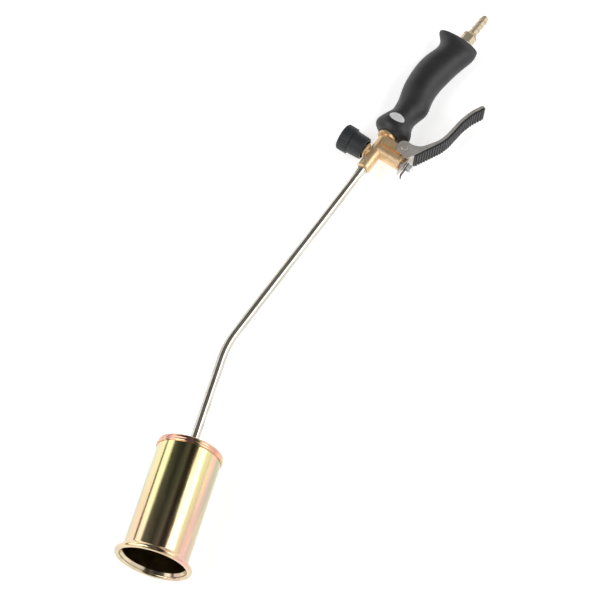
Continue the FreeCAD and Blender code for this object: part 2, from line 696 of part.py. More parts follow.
def make_valve_body():
    regulator_x = -d.regulator_offset
    lug = doc.addObject("Part::Box", "pivot_lug")
    lug.setExpression("Length", d.lug_web.text)
    lug.setExpression("Width", d.lug_reach.text)
    lug.setExpression("Height", (2 * d.lug_half_width).text)
    lug_start = d.lug_place + d.lug_overhang - d.lug_web
    lug.Placement = place(lug_start, -d.lug_reach, -d.lug_half_width)
    solids = [
        cylinder("barrel", d.body_radius, d.body_front + d.flange_face,
                 along_x(-d.body_front)),
        cylinder("spigot", d.spigot_radius, d.spigot_length + 1.0,
                 along_x(-d.body_front - d.spigot_length)),
        cylinder("flange", d.flange_radius, d.flange_thickness,
                 along_x(d.flange_face - d.flange_thickness)),
        cylinder("shut_off_boss", d.boss_radius, d.boss_length, against_y(0, 0)),
        cylinder("regulator_boss", d.regulator_boss, d.regulator_boss_end,
                 along_y(regulator_x, 0)),
        cylinder("lug_end", d.lug_radius, 2 * d.lug_half_width,
                 place(d.lug_place, -d.lug_reach, -d.lug_half_width)),
        lug,
    ]
    blank = solids[0]
    for solid in solids[1:]:
        joined = doc.addObject("Part::Fuse", "valve_blank")
        joined.Base = blank
        joined.Tool = solid
        blank = joined
    doc.recompute()

    gland_start = d.boss_length - d.gland_thread_length
    outlet_end = regulator_x + 2.5
    chamber_top = d.regulator_seat + 1.0
    thread_start = d.regulator_boss_end - d.regulator_thread_length
    front = -(d.body_front + d.spigot_length)
    cuts = [
        cylinder("tube_socket_bore", d.tube_radius, d.ferrule_socket, along_x(front)),
        cylinder("outlet_way", 2.5, outlet_end - front, along_x(front)),
        cylinder("inlet_thread", d.supply_radius, d.supply_thread_length + 1.0,
                 supply_station.multiply(along_x(-d.supply_thread_length))),
        cylinder("inlet_way", 2.6, 3.5,
                 supply_station.multiply(along_x(-d.supply_thread_length - 3.0))),
        drilled("inlet_drilling", d.gas_way,
                (d.flange_face.number - d.supply_thread_length.number - 2.0, -1.0, 0),
                (d.chamber_radius.number - 2.2, -(d.seat_depth.number + 3.5), 0)),
        cylinder("shut_off_chamber", d.chamber_radius, gland_start - d.seat_depth + 0.5,
                 against_y(0, -d.seat_depth)),
        cylinder("gland_thread_bore", d.gland_thread, d.gland_thread_length + 1.0,
                 against_y(0, -gland_start)),
        cylinder("gland_relief", d.gland_ring + 0.25, d.lug_reach,
                 against_y(0, -d.boss_length)),
        cylinder("valve_way", d.gas_way, d.seat_depth + d.regulator_seat + 1.6,
                 against_y(0, d.regulator_seat + 0.6)),
        cylinder("cross_way", d.needle_orifice, d.regulator_offset,
                 along_x(regulator_x, d.regulator_seat + 0.6)),
        cylinder("regulator_chamber_bore", d.regulator_chamber,
                 d.regulator_boss_end - d.regulator_seat, along_y(regulator_x, d.regulator_seat)),
        cylinder("regulator_thread_bore", d.regulator_thread, d.regulator_thread_length + 1.0,
                 along_y(regulator_x, thread_start)),
        cylinder("needle_hole", d.needle_orifice, d.regulator_seat + 0.5,
                 along_y(regulator_x, 0)),
        cylinder("pivot_hole", d.pivot_radius + d.running_gap, 2 * d.lug_half_width + 2,
                 place(d.lug_place, -d.lug_reach, -d.lug_half_width - 1)),
    ]
    ways = doc.addObject("Part::MultiFuse", "valve_ways")
    ways.Shapes = cuts
    body = doc.addObject("Part::Cut", "valve_body")
    body.Base = blank
    body.Tool = ways
    doc.recompute()
    register(body, "valve_body")


# ---------------------------------------------------------------- shut-off valve

shut_off_station = place(0, 0, 0, Z_AXIS, -90)
gland_face = d.boss_length + d.gland_ring_length
collar_start = d.seat_depth + 0.02 + d.disc_thickness
spring_start = collar_start + d.stem_collar_length
spring_end = d.boss_length - d.gland_thread_length


def make_valve_gland():
    bore = d.stem_radius + d.running_gap
    groove = d.stem_radius + d.ring_gap + 2 * d.ring_section
    groove_middle = (spring_end + gland_face - d.gland_recess_depth) / 2
    turned("valve_gland", [
        (spring_end, bore),
        (spring_end, d.gland_thread),
        (d.boss_length, d.gland_thread),
        (d.boss_length, d.gland_ring - 0.3),
        (d.boss_length + 0.3, d.gland_ring),
        (gland_face - 0.6, d.gland_ring),
        (gland_face, d.gland_ring - 0.6),
        (gland_face, d.gland_recess),
        (gland_face - d.gland_recess_depth, d.gland_recess),
        (gland_face - d.gland_recess_depth, bore),
        (groove_middle + d.ring_section, bore),
        (groove_middle + d.ring_section, groove),
        (groove_middle - d.ring_section, groove),
        (groove_middle - d.ring_section, bore),
    ], None, shut_off_station)
    make_o_ring("valve_o_ring", d.stem_radius, groove_middle, shut_off_station)


def make_o_ring(label, shaft_radius, middle, station):
    torus = doc.addObject("Part::Torus", label)
    torus.setExpression("Radius1", (shaft_radius + d.ring_gap + d.ring_section).text)
    torus.setExpression("Radius2", d.ring_section.text)
    register(torus, label, station.multiply(place(middle, 0, 0, Y_AXIS, 90)))


lever_plate_slope = (LEVER_LINE[1][0][1] - LEVER_LINE[0][0][1]) / (
    LEVER_LINE[1][0][0] - LEVER_LINE[0][0][0])
plate_beside_pivot = LEVER_LINE[0][0][1] - lever_plate_slope * (
    LEVER_LINE[0][0][0] + d.lug_place.number)
plate_at_stem = d.lug_reach.number - plate_beside_pivot
dome_height = math.sqrt(d.washer_dome.number ** 2 - d.stem_slot_half_width.number ** 2)
dome_reach = dome_height * math.sqrt(1 + lever_plate_slope ** 2) - d.washer_dome.number
washer_base = Size.of(plate_at_stem + 0.05) + Size.of(dome_reach)
hook_start = washer_base + d.washer_thickness
lock_nut_start = hook_start + d.hook_sheet
cap_nut_start = lock_nut_start + d.stem_lock_height


def make_stem():
    tip = cap_nut_start + d.cap_nut_height - 1.6
    turned("valve_stem", [
        (collar_start, 0),
        (collar_start, d.stem_collar),
        (spring_start, d.stem_collar),
        (spring_start, d.stem_radius),
        (tip - 0.5, d.stem_radius),
        (tip, d.stem_radius - 0.5),
        (tip, 0),
    ], None, shut_off_station)
    disc_radius = d.stem_collar - 0.4
    turned("valve_disc", [
        (d.seat_depth + 0.02, 0),
        (d.seat_depth + 0.02, disc_radius),
        (collar_start, disc_radius),
        (collar_start, 0),
    ], None, shut_off_station)
    dome_sagitta = d.washer_dome.number - math.sqrt(
        d.washer_dome.number ** 2 - d.washer_radius.number ** 2)
    bore_sagitta = d.washer_dome.number - math.sqrt(
        d.washer_dome.number ** 2 - d.stem_radius.number ** 2)
    turned("stem_washer", [
        (washer_base + bore_sagitta, d.stem_radius),
        (washer_base + dome_sagitta, d.washer_radius),
        (hook_start, d.washer_radius),
        (hook_start, d.stem_radius),
    ], {0: -d.washer_dome}, shut_off_station)
    corner = hex_corner(d.lock_nut_flats)
    nut = turned("stem_lock_nut", [
        (lock_nut_start, d.stem_radius),
        (lock_nut_start, corner - 0.4),
        (lock_nut_start + 0.4, corner),
        (cap_nut_start - 0.4, corner),
        (cap_nut_start, corner - 0.4),
        (cap_nut_start, d.stem_radius),
    ], None, shut_off_station)
    cut_hexagon(nut, "stem_lock_flats", d.lock_nut_flats, lock_nut_start, d.stem_lock_height)
    corner = hex_corner(d.cap_nut_flats)
    cap_end = cap_nut_start + d.cap_nut_height
    flats = d.cap_nut_height * 0.6
    cap = turned("stem_cap_nut", [
        (cap_nut_start, d.stem_radius),
        (cap_nut_start, corner - 0.4),
        (cap_nut_start + 0.4, corner),
        (cap_nut_start + flats, corner),
        (cap_nut_start + flats + 0.5, corner - 0.9),
        (cap_end - 0.5, d.stem_radius),
        (cap_end, 0.9),
        (cap_end, 0),
        (tip, 0),
        (tip, d.stem_radius),
    ], None, shut_off_station)
    cut_hexagon(cap, "stem_cap_flats", d.cap_nut_flats, cap_nut_start, flats + 0.3)


def make_lock_hook():
    """A strip under the lock nut whose far end is bent away from the lever."""
    near = -hook_start.number
    bend = d.hook_bend.number
    line = [(-d.hook_reach.number, near - bend), (bend - d.hook_reach.number, near),
            (d.hook_heel.number, near)]
    radii = [0.0, 0.8, 0.0]
    half_width = d.stem_radius.number + d.hook_edge.number
    strip = slab(band_between((line, radii), shifted(line, radii, -d.hook_sheet.number)),
                 -half_width, half_width)
    hole = Part.makeCylinder(d.stem_radius.number, 60, FreeCAD.Vector(0, 0, 0), -Y_AXIS)
    hook = doc.addObject("Part::Feature", "lock_hook")
    hook.Shape = strip.cut(hole)
    register(hook, "lock_hook")


def make_spring():
    """A coil between the stem's collar and the gland, with its wire clear of both."""
    wire = d.spring_wire.number
    clear = 0.05
    start = spring_start.number + wire + clear
    height = spring_end.number - spring_start.number - 2 * (wire + clear)
    mean = (d.stem_radius.number + d.chamber_radius.number) / 2
    helix = Part.makeHelix(height / d.spring_turns.number, height, mean)
    first = helix.Edges[0].FirstParameter
    end_normal = helix.Edges[0].tangentAt(first)
    circle = Part.Circle(helix.Edges[0].valueAt(first), end_normal, wire)
    halves = [Part.Arc(circle, 0, math.pi).toShape(), Part.Arc(circle, math.pi, 2 * math.pi).toShape()]
    spring = doc.addObject("Part::Feature", "valve_spring")
    spring.Shape = Part.Wire(helix.Edges).makePipeShell([Part.Wire(halves)], True, True)
    along_stem = place(start, 0, 0, Y_AXIS, 90)
    register(spring, "valve_spring", shut_off_station.multiply(along_stem))


# ---------------------------------------------------------------- regulator

regulator_station = place(-d.regulator_offset, 0, 0, Z_AXIS, 90)


def make_regulator():
    bore = d.spindle_radius + d.running_gap
    collar_end = d.regulator_boss_end + d.regulator_collar_length
    thread_start = d.regulator_boss_end - d.regulator_thread_length
    groove = d.spindle_radius + d.ring_gap + 2 * d.ring_section
    middle = d.regulator_boss_end + 1.2
    turned("regulator_gland", [
        (thread_start, bore),
        (thread_start, d.regulator_thread),
        (d.regulator_boss_end, d.regulator_thread),
        (d.regulator_boss_end, d.regulator_collar - 0.8),
        (d.regulator_boss_end + 0.8, d.regulator_collar),
        (collar_end - 0.8, d.regulator_collar),
        (collar_end, d.regulator_collar - 0.8),
        (collar_end, bore),
        (middle + d.ring_section, bore),
        (middle + d.ring_section, groove),
        (middle - d.ring_section, groove),
        (middle - d.ring_section, bore),
    ], None, regulator_station)
    make_o_ring("regulator_o_ring", d.spindle_radius, middle, regulator_station)

    collar_face = d.regulator_seat + d.needle_collar
    shank_end = collar_face + d.needle_shank_length
    collar = d.spindle_radius - 0.3
    turned("regulator_needle", [
        (d.regulator_seat - 0.8, 0),
        (d.regulator_seat + 0.05, d.needle_orifice - 0.08),
        (d.regulator_seat + 0.05, collar),
        (collar_face, collar),
        (collar_face, d.needle_shank),
        (shank_end, d.needle_shank),
        (shank_end, 0),
    ], None, regulator_station)

    screw_seat = knob_outer_face() - d.knob_cap_thickness - d.screw_head_height - 1.2
    screw_hole_end = screw_seat - d.screw_length
    spindle_start = collar_face + d.needle_travel + 0.15
    needle_hole = d.needle_shank + d.running_gap
    needle_hole_end = shank_end + d.needle_travel + 0.15
    turned("regulator_spindle", [
        (spindle_start, needle_hole),
        (spindle_start, d.spindle_radius),
        (screw_seat - 1.0, d.spindle_radius),
        (screw_seat - 1.0, d.screw_radius),
        (screw_hole_end, d.screw_radius),
        (screw_hole_end, 0),
        (needle_hole_end, 0),
        (needle_hole_end, needle_hole),
    ], None, regulator_station)


def knob_outer_face():
    return d.knob_inner_end + d.knob_length


def make_knob():
    face = knob_outer_face()
    step = face - d.knob_band_length
    screw_seat = face - d.knob_cap_thickness - d.screw_head_height - 1.2
    cap_pocket = face - d.knob_cap_thickness
    roof = screw_seat - 2.0
    edge = d.knob_edge
    dome_start = face - d.knob_dome
    points = [
        (d.knob_inner_end, d.knob_neck - d.knob_wall),
        (d.knob_inner_end, d.knob_neck - 0.6),
        (d.knob_inner_end + 0.6, d.knob_neck),
        (step, d.knob_waist),
        (step, d.knob_band),
        (dome_start - edge, d.knob_band),
        (dome_start, d.knob_band - edge),
        (face, d.knob_cap_radius),
        (cap_pocket, d.knob_cap_radius),
        (cap_pocket, d.screw_head + 0.2),
        (screw_seat, d.screw_head + 0.2),
        (screw_seat, d.screw_radius + 0.1),
        (screw_seat - 1.0, d.screw_radius + 0.1),
        (screw_seat - 1.0, d.spindle_radius),
        (d.knob_inner_end + 1.5, d.spindle_radius),
        (d.knob_inner_end + 1.5, d.knob_hub),
        (roof, d.knob_hub),
        (roof, d.knob_neck - d.knob_wall),
    ]
    body = turned("regulator_knob", points, {5: edge}, regulator_station)
    sketch = new_sketch(body, "knob_groove_sketch", "YZ_Plane", face)
    ring(sketch, d.knob_band + 0.15, 0, d.knob_groove)
    groove = cut_through(body, sketch, 2 * d.knob_band_length - 1.2, "knob_groove")
    around(body, groove, d.knob_ribs, "knob_groove_ring")

    turned("knob_cap", [
        (cap_pocket, 0),
        (cap_pocket, d.knob_cap_radius - 0.1),
        (face - 0.3, d.knob_cap_radius - 0.1),
        (face, d.knob_cap_radius - 0.4),
        (face, 0),
    ], None, regulator_station)
    head_end = screw_seat + d.screw_head_height
    screw = turned("knob_screw", [
        (screw_seat - d.screw_length, 0),
        (screw_seat - d.screw_length, d.screw_radius),
        (screw_seat, d.screw_radius),
        (screw_seat, d.screw_head),
        (head_end - 0.5, d.screw_head),
        (head_end, d.screw_head - 0.5),
        (head_end, 0),
    ], None, regulator_station)
    sketch = new_sketch(screw, "screw_slot_sketch", "YZ_Plane", head_end)
    half_slot = 0.35
    reach = d.screw_head + 0.5
    outline(sketch, [(-reach, -half_slot), (reach, -half_slot), (reach, half_slot),
                     (-reach, half_slot)])
    cut_through(screw, sketch, 1.4, "screw_slot")


# ---------------------------------------------------------------- lever

pivot_station = place(d.lug_place, -d.lug_reach, 0)


def rounded_line(points, radii):
    """Edges of a broken line whose corners are rounded by tangent arcs."""
    vectors = [FreeCAD.Vector(x, y, 0) for x, y in points]
    edges = []
    here = vectors[0]
    for index in range(1, len(vectors) - 1):
        corner, before, after = vectors[index], vectors[index - 1], vectors[index + 1]
        way_in = (corner - before).normalize()
        way_out = (after - corner).normalize()
        turn = math.acos(max(-1.0, min(1.0, way_in.dot(way_out))))
        if radii[index] <= 0 or turn < 1e-4:
            edges.append(Part.makeLine(here, corner))
            here = corner
            continue
        cut = radii[index] * math.tan(turn / 2)
        start, end = corner - way_in * cut, corner + way_out * cut
        left_turn = way_in.x * way_out.y - way_in.y * way_out.x > 0
        if (start - here).Length > 1e-6:
            edges.append(Part.makeLine(here, start))
        radius = radii[index] if left_turn else -radii[index]
        edges.append(arc_edge(start, end, radius).toShape())
        here = end
    edges.append(Part.makeLine(here, vectors[-1]))
    return edges


def shifted(points, radii, distance):
    """The same broken line moved to its left, with its corner radii changed to match."""
    vectors = [FreeCAD.Vector(x, y, 0) for x, y in points]
    ways = [(b - a).normalize() for a, b in zip(vectors, vectors[1:])]
    lefts = [FreeCAD.Vector(-way.y, way.x, 0) for way in ways]
    moved, new_radii = [], []
    for index, vector in enumerate(vectors):
        if index == 0 or index == len(vectors) - 1:
            side = lefts[0] if index == 0 else lefts[-1]
            moved.append(vector + side * distance)
            new_radii.append(0.0)
            continue
        before, after = lefts[index - 1], lefts[index]
        miter = (before + after).normalize()
        moved.append(vector + miter * (distance / miter.dot(after)))
        turn = ways[index - 1].x * ways[index].y - ways[index - 1].y * ways[index].x
        change = -distance if turn > 0 else distance
        new_radii.append(max(radii[index] + change, 0.0) if radii[index] > 0 else 0.0)
    return [(point.x, point.y) for point in moved], new_radii


def slab(edges, low, high):
    """A closed flat outline, given by its edges in order, thickened from low to high in Z."""
    face = Part.Face(Part.Wire(Part.__sortEdges__(edges)))
    face.translate(FreeCAD.Vector(0, 0, low))
    return face.extrude(FreeCAD.Vector(0, 0, high - low))


def band_between(near, far):
    """The closed outline between two rounded lines that run the same way."""
    first = rounded_line(*near)
    second = rounded_line(*far)
    ends = [Part.makeLine(FreeCAD.Vector(*near[0][0], 0), FreeCAD.Vector(*far[0][0], 0)),
            Part.makeLine(FreeCAD.Vector(*near[0][-1], 0), FreeCAD.Vector(*far[0][-1], 0))]
    return first + second + ends


def lever_line(offset):
    """The lever's outer face moved towards the grip by the offset."""
    points = [point for point, radius in LEVER_LINE]
    radii = [radius for point, radius in LEVER_LINE]
    return shifted(points, radii, offset)


def make_lever_channel():
    width, sheet_thickness = d.lever_half_width.number, d.lever_sheet.number
    outer, inner = lever_line(0.0), lever_line(sheet_thickness)
    web = slab(band_between(outer, inner), -width, width)
    tongue_end = LEVER_LINE[1][0][0]
    spare = 30.0
    for side in (-1, 1):
        low = d.tongue_half_width.number if side > 0 else -spare
        block = Part.makeBox(spare, spare, spare - d.tongue_half_width.number,
                             FreeCAD.Vector(tongue_end - spare, -spare, low))
        web = web.cut(block)

    flange_line = lever_line(d.lever_flange.number)
    keep_from = Part.makeBox(120, 90, 60, FreeCAD.Vector(FLANGE_START, -80, -30))
    corners = [point for point, radius in EAR_CORNERS]
    radii = [radius for point, radius in EAR_CORNERS]
    corners.append(corners[0])
    radii.append(0.0)
    metal = web
    for low, high in ((-width, -width + sheet_thickness), (width - sheet_thickness, width)):
        flange = slab(band_between(outer, flange_line), low, high).common(keep_from)
        flange = round_corner(flange, flange_line[0][-1], d.tip_corner.number)
        ear = slab(rounded_line(corners, radii), low, high)
        metal = metal.fuse([flange, ear])
    metal = metal.fuse(at_tip(0.0, 2 * width))
    hole = Part.makeCylinder(d.pivot_radius.number, 60, FreeCAD.Vector(0, 0, -30))
    metal = metal.cut(hole).cut(stem_slot()).removeSplitter()
    lever = doc.addObject("Part::Feature", "lever_channel")
    lever.Shape = metal.Solids[0] if len(metal.Solids) == 1 else metal
    register(lever, "lever_channel", pivot_station)


def round_corner(solid, corner, radius):
    """Round the upright edge that stands at that corner."""
    chosen = []
    for edge in solid.Edges:
        box = edge.BoundBox
        if math.hypot(box.Center.x - corner[0], box.Center.y - corner[1]) < 0.01:
            chosen.append(edge)
    return solid.makeFillet(radius, chosen)


def at_tip(spare, width):
    """The lip's block at the lever's tip, made longer and deeper by spare."""
    before, tip = LEVER_LINE[-2][0], LEVER_LINE[-1][0]
    angle = math.degrees(math.atan2(tip[1] - before[1], tip[0] - before[0]))
    rise = d.cover_thickness.number + d.lever_sheet.number / 2
    depth = d.cover_end.number
    block = Part.makeBox(depth + 2 * spare, rise + 2 * spare, width + 2 * spare,
                         FreeCAD.Vector(-depth - spare, -d.cover_thickness.number - spare,
                                        -width / 2 - spare))
    block.Placement = place(tip[0], tip[1], 0, Z_AXIS, angle).multiply(block.Placement)
    return block


def stem_slot():
    """A slot through the plate, long enough for the arc that the plate swings through."""
    half = d.stem_slot_half_width.number
    low = -d.lug_place.number - d.stem_slot_travel.number
    high = -d.lug_place.number + d.stem_slot_relief.number
    depth = 20.0
    first = Part.makeCylinder(half, depth, FreeCAD.Vector(high, 0, 0), -Y_AXIS)
    second = Part.makeCylinder(half, depth, FreeCAD.Vector(low, 0, 0), -Y_AXIS)
    middle = Part.makeBox(high - low, depth, 2 * half, FreeCAD.Vector(low, -depth, -half))
    return first.fuse([second, middle])


def make_lever_cover():
    """A ribbed strip on the outer face of the lever's arm."""
    width = d.lever_half_width.number
    full, groove = d.cover_thickness.number, d.cover_groove.number
    base = slab(band_between(lever_line(0.0), lever_line(-(full - groove))), -width, width)
    skin = slab(band_between(lever_line(-(full - groove)), lever_line(-full)), -width, width)
    tip = LEVER_LINE[-1][0]
    start_box = Part.makeBox(tip[0] - COVER_START, 60, 4 * width,
                             FreeCAD.Vector(COVER_START, -60, -2 * width))
    base = base.common(start_box)
    skin = skin.common(start_box)
    line = Part.Wire(rounded_line(*lever_line(-full)))
    pieces = [base]
    place_along = 0.0
    while place_along < line.Length:
        spot = line_point(line, place_along)
        ahead = line_point(line, min(place_along + 0.1, line.Length))
        behind = line_point(line, max(place_along - 0.1, 0.0))
        way = (ahead - behind).normalize()
        angle = math.degrees(math.atan2(way.y, way.x))
        rib = Part.makeBox(d.cover_rib.number, 4 * full, 2 * width,
                           FreeCAD.Vector(-d.cover_rib.number / 2, -2 * full, -width))
        rib.Placement = FreeCAD.Placement(spot, FreeCAD.Rotation(Z_AXIS, angle)).multiply(
            rib.Placement)
        bit = rib.common(skin)
        if bit.Volume > 1.0:
            pieces.append(bit)
        place_along += d.cover_pitch.number
    end_block = at_tip(0.0, 2 * width)
    beyond = end_block.translated(FreeCAD.Vector(d.cover_end.number, 0, 0))
    cover = pieces[0].fuse(pieces[1:]).cut(end_block.fuse(beyond)).removeSplitter()
    feature = doc.addObject("Part::Feature", "lever_cover")
    feature.Shape = cover.Solids[0] if len(cover.Solids) == 1 else cover
    register(feature, "lever_cover", pivot_station)


def line_point(line, distance):
    """The point that lies that far along a wire."""
    for edge in line.OrderedEdges:
        if distance <= edge.Length + 1e-9:
            share = distance / edge.Length
            if edge.Orientation == "Reversed":
                share = 1 - share
            low, high = edge.ParameterRange
            return edge.valueAt(low + (high - low) * share)
        distance -= edge.Length
    return line.OrderedVertexes[-1].Point


def make_lever_pin():
    """A rivet: a plain shank with a domed head at each end."""
    half = d.lever_half_width
    head = half + d.pin_head_height
    bevel = 0.4
    station = place(d.lug_place, -d.lug_reach, 0, Y_AXIS, -90)
    turned("lever_pin", [
        (-head, 0),
        (-head, d.pin_head_radius - bevel),
        (-head + bevel, d.pin_head_radius),
        (-half, d.pin_head_radius),
        (-half, d.pivot_radius),
        (half, d.pivot_radius),
        (half, d.pin_head_radius),
        (head - bevel, d.pin_head_radius),
        (head, d.pin_head_radius - bevel),
        (head, 0),
    ], None, station)


# ---------------------------------------------------------------- grip and supply

butt_offset = -d.grip_length.number * math.tan(math.radians(d.supply_tilt.number))


def grip_blank(name, extra):
    """A loft through ellipses along the grip, each larger all round by extra."""
    sections = []
    for index, (share, middle, half_height, half_thickness) in enumerate(GRIP_SECTIONS):
        ellipse = doc.addObject("Part::Ellipse", f"{name}_section_{index}")
        ellipse.setExpression("MajorRadius", (Size.of(half_height) + extra).text)
        ellipse.setExpression("MinorRadius", (Size.of(half_thickness) + extra).text)
        turn = FreeCAD.Rotation(Y_AXIS, Z_AXIS, X_AXIS, "ZXY")
        ellipse.Placement = FreeCAD.Placement(FreeCAD.Vector(0, middle, 0), turn)
        ellipse.setExpression(".Placement.Base.x", (d.flange_face + share * d.grip_length).text)
        if share == 1.0:
            square_to_line = FreeCAD.Placement(
                FreeCAD.Vector(d.grip_length.number, middle - butt_offset, 0), turn)
            ellipse.setExpression(".Placement.Base.x", None)
            ellipse.Placement = supply_station.multiply(square_to_line)
        sections.append(ellipse)
    loft = doc.addObject("Part::Loft", name)
    loft.Sections = sections
    loft.Solid = True
    loft.Ruled = False
    doc.recompute()
    return loft


def edges_at(shape, x, station):
    """Numbers of the edges that lie wholly at that place along the station's X."""
    numbers = []
    back = station.inverse()
    for number, edge in enumerate(shape.Edges, start=1):
        low, high = edge.ParameterRange
        spots = [edge.valueAt(low + (high - low) * step / 4) for step in range(5)]
        if all(abs(back.multVec(spot).x - x) < 0.01 for spot in spots):
            numbers.append(number)
    return numbers


def make_grip():
    loft = grip_blank("grip_blank", 0.0)
    front = d.flange_face.number
    butt = d.grip_length.number
    rounding = doc.addObject("Part::Fillet", "grip_rounding")
    rounding.Base = loft
    fillets = [(number, d.grip_edge.number, d.grip_edge.number)
               for number in edges_at(loft.Shape, butt, supply_station)]
    fillets += [(number, d.grip_front_edge.number, d.grip_front_edge.number)
                for number in edges_at(loft.Shape, front, FreeCAD.Placement())]
    rounding.Edges = fillets
    bore = cylinder("grip_bore", d.grip_bore, d.grip_length + 4,
                    supply_station.multiply(along_x(-2)))
    grip = doc.addObject("Part::Cut", "grip")
    grip.Base = rounding
    grip.Tool = bore
    doc.recompute()
    register(grip, "grip")
    make_badge(loft)


def make_badge(grip_solid):
    """An oval plate that follows the grip's surface."""
    thicker = grip_blank("badge_blank", d.badge_thickness)
    oval = doc.addObject("Part::Ellipse", "badge_oval")
    oval.setExpression("MajorRadius", d.badge_half_length.text)
    oval.setExpression("MinorRadius", d.badge_half_width.text)
    oval.Placement = place(d.flange_face + d.badge_place, 0.7, 0, Z_AXIS, 90)
    prism = doc.addObject("Part::Extrusion", "badge_prism")
    prism.Base = oval
    prism.DirMode = "Custom"
    prism.Dir = Z_AXIS
    prism.LengthFwd = 30.0
    prism.Solid = True
    patch = doc.addObject("Part::Common", "badge_patch")
    patch.Base = thicker
    patch.Tool = prism
    badge = doc.addObject("Part::Cut", "grip_badge")
    badge.Base = patch
    badge.Tool = grip_solid
    doc.recompute()
    register(badge, "grip_badge")


def make_supply():
    butt = d.grip_length
    tube_start = -d.supply_thread_length
    tail_seat = butt + d.end_washer_thickness
    counterbore = tail_seat + d.seal_thickness - d.tail_thread_length
    turned("supply_tube", [
        (tube_start, d.supply_bore),
        (tube_start, d.supply_radius),
        (butt, d.supply_radius),
        (butt, d.tail_thread),
        (counterbore, d.tail_thread),
        (counterbore, d.supply_bore),
    ], None, supply_station)
    turned("end_washer", [
        (butt, d.tail_thread + 0.2),
        (butt, d.end_washer_radius),
        (tail_seat - 0.3, d.end_washer_radius),
        (tail_seat, d.end_washer_radius - 0.3),
        (tail_seat, d.tail_thread + 0.2),
    ], None, supply_station)
    turned("tail_seal", [
        (tail_seat, d.tail_thread + 0.1),
        (tail_seat, d.tail_hex / 2 - 0.3),
        (tail_seat + d.seal_thickness, d.tail_hex / 2 - 0.3),
        (tail_seat + d.seal_thickness, d.tail_thread + 0.1),
    ], None, supply_station)


def make_hose_tail():
    start = d.grip_length + d.end_washer_thickness + d.seal_thickness
    corner = hex_corner(d.tail_hex)
    chamfer = 0.8
    hex_end = start + d.tail_hex_length
    cone_end = hex_end + d.tail_cone
    points = [
        (start - d.tail_thread_length, d.tail_bore),
        (start - d.tail_thread_length, d.tail_thread),
        (start, d.tail_thread),
        (start, corner - chamfer),
        (start + chamfer, corner),
        (hex_end, corner),
        (cone_end, d.tail_root),
    ]
    for barb in range(int(d.tail_barbs.number)):
        rise = cone_end + 0.6 + barb * d.tail_pitch
        points.append((rise, d.tail_root))
        points.append((rise + 0.3, d.tail_crest))
        points.append((rise + 0.3 + d.tail_land, d.tail_crest))
    tip = cone_end + 0.6 + d.tail_barbs * d.tail_pitch
    points.append((tip, d.tail_root - 0.3))
    points.append((tip + 0.7, d.tail_root - 0.9))
    points.append((tip + 0.7, d.tail_bore))
    body = turned("hose_tail", points, None, supply_station)
    cut_hexagon(body, "hose_tail_flats", d.tail_hex, start, d.tail_hex_length)


# ---------------------------------------------------------------- assembly

def make_all():
    make_bell()
    make_back_cap()
    make_jet_holder()
    make_burner_cup()
    make_bell_lock_nut()
    make_gas_jet()
    make_neck_tube()
    make_neck_fittings()
    make_valve_body()
    make_valve_gland()
    make_stem()
    make_lock_hook()
    make_spring()
    make_regulator()
    make_knob()
    make_lever_channel()
    make_lever_cover()
    make_lever_pin()
    make_grip()
    make_supply()
    make_hose_tail()


def rest_pitch():
    """The turn about Y that brings the bell's rim and the grip down together."""
    rim = bell_back + bell_direction * (d.bell_length - d.rim_bead).number
    rim_depth = d.rim_radius.number + d.rim_bead.number
    slopes = []
    for share, middle, half_height, half_thickness in GRIP_SECTIONS:
        spot = d.flange_face.number + share * d.grip_length.number
        slopes.append(math.atan2(rim_depth - half_thickness, spot - rim.x))
    return math.degrees(min(slopes))


def stand_on_the_ground():
    """Place every sub-part, with the origin at the bottom centre of the whole torch's box."""
    pitch = rest_pitch()
    turn = FreeCAD.Placement(FreeCAD.Vector(), FreeCAD.Rotation(Y_AXIS, pitch))
    for label, part in parts.items():
        part.Placement = turn.multiply(stations[label])
    doc.recompute()
    box = FreeCAD.BoundBox()
    for part in parts.values():
        box.add(part.Shape.optimalBoundingBox(True, False))
    shift = FreeCAD.Placement(
        FreeCAD.Vector(-box.Center.x, -box.Center.y, -box.ZMin), FreeCAD.Rotation())
    torch = shift.multiply(turn)
    for label, part in parts.items():
        part.Placement = torch.multiply(stations[label])
    doc.recompute()
    return torch


def check_document():
    for item in doc.Objects:
        if "Invalid" in item.State or "Error" in item.State:
            raise RuntimeError(f"{item.Label} is {item.State}")
    for label, part in parts.items():
        shape = part.Shape
        if shape.isNull() or not shape.isValid() or not shape.Solids:
            raise RuntimeError(f"{label} has no valid solid")
        if len(shape.Solids) != 1:
            raise RuntimeError(f"{label} is {len(shape.Solids)} solids")


make_all()
torch_placement = stand_on_the_ground()
check_document()
os.makedirs("parts", exist_ok=True)
for label, part in parts.items():
    part.Shape.exportStep(os.path.join("parts", f"{label}.step"))
print(len(parts), "sub-parts;", "torch placement", torch_placement)
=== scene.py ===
"""Looks of the propane torch: materials, fine detail, floor, light and camera."""

import json
import math

import bmesh
import bpy
from mathutils import Matrix, Vector


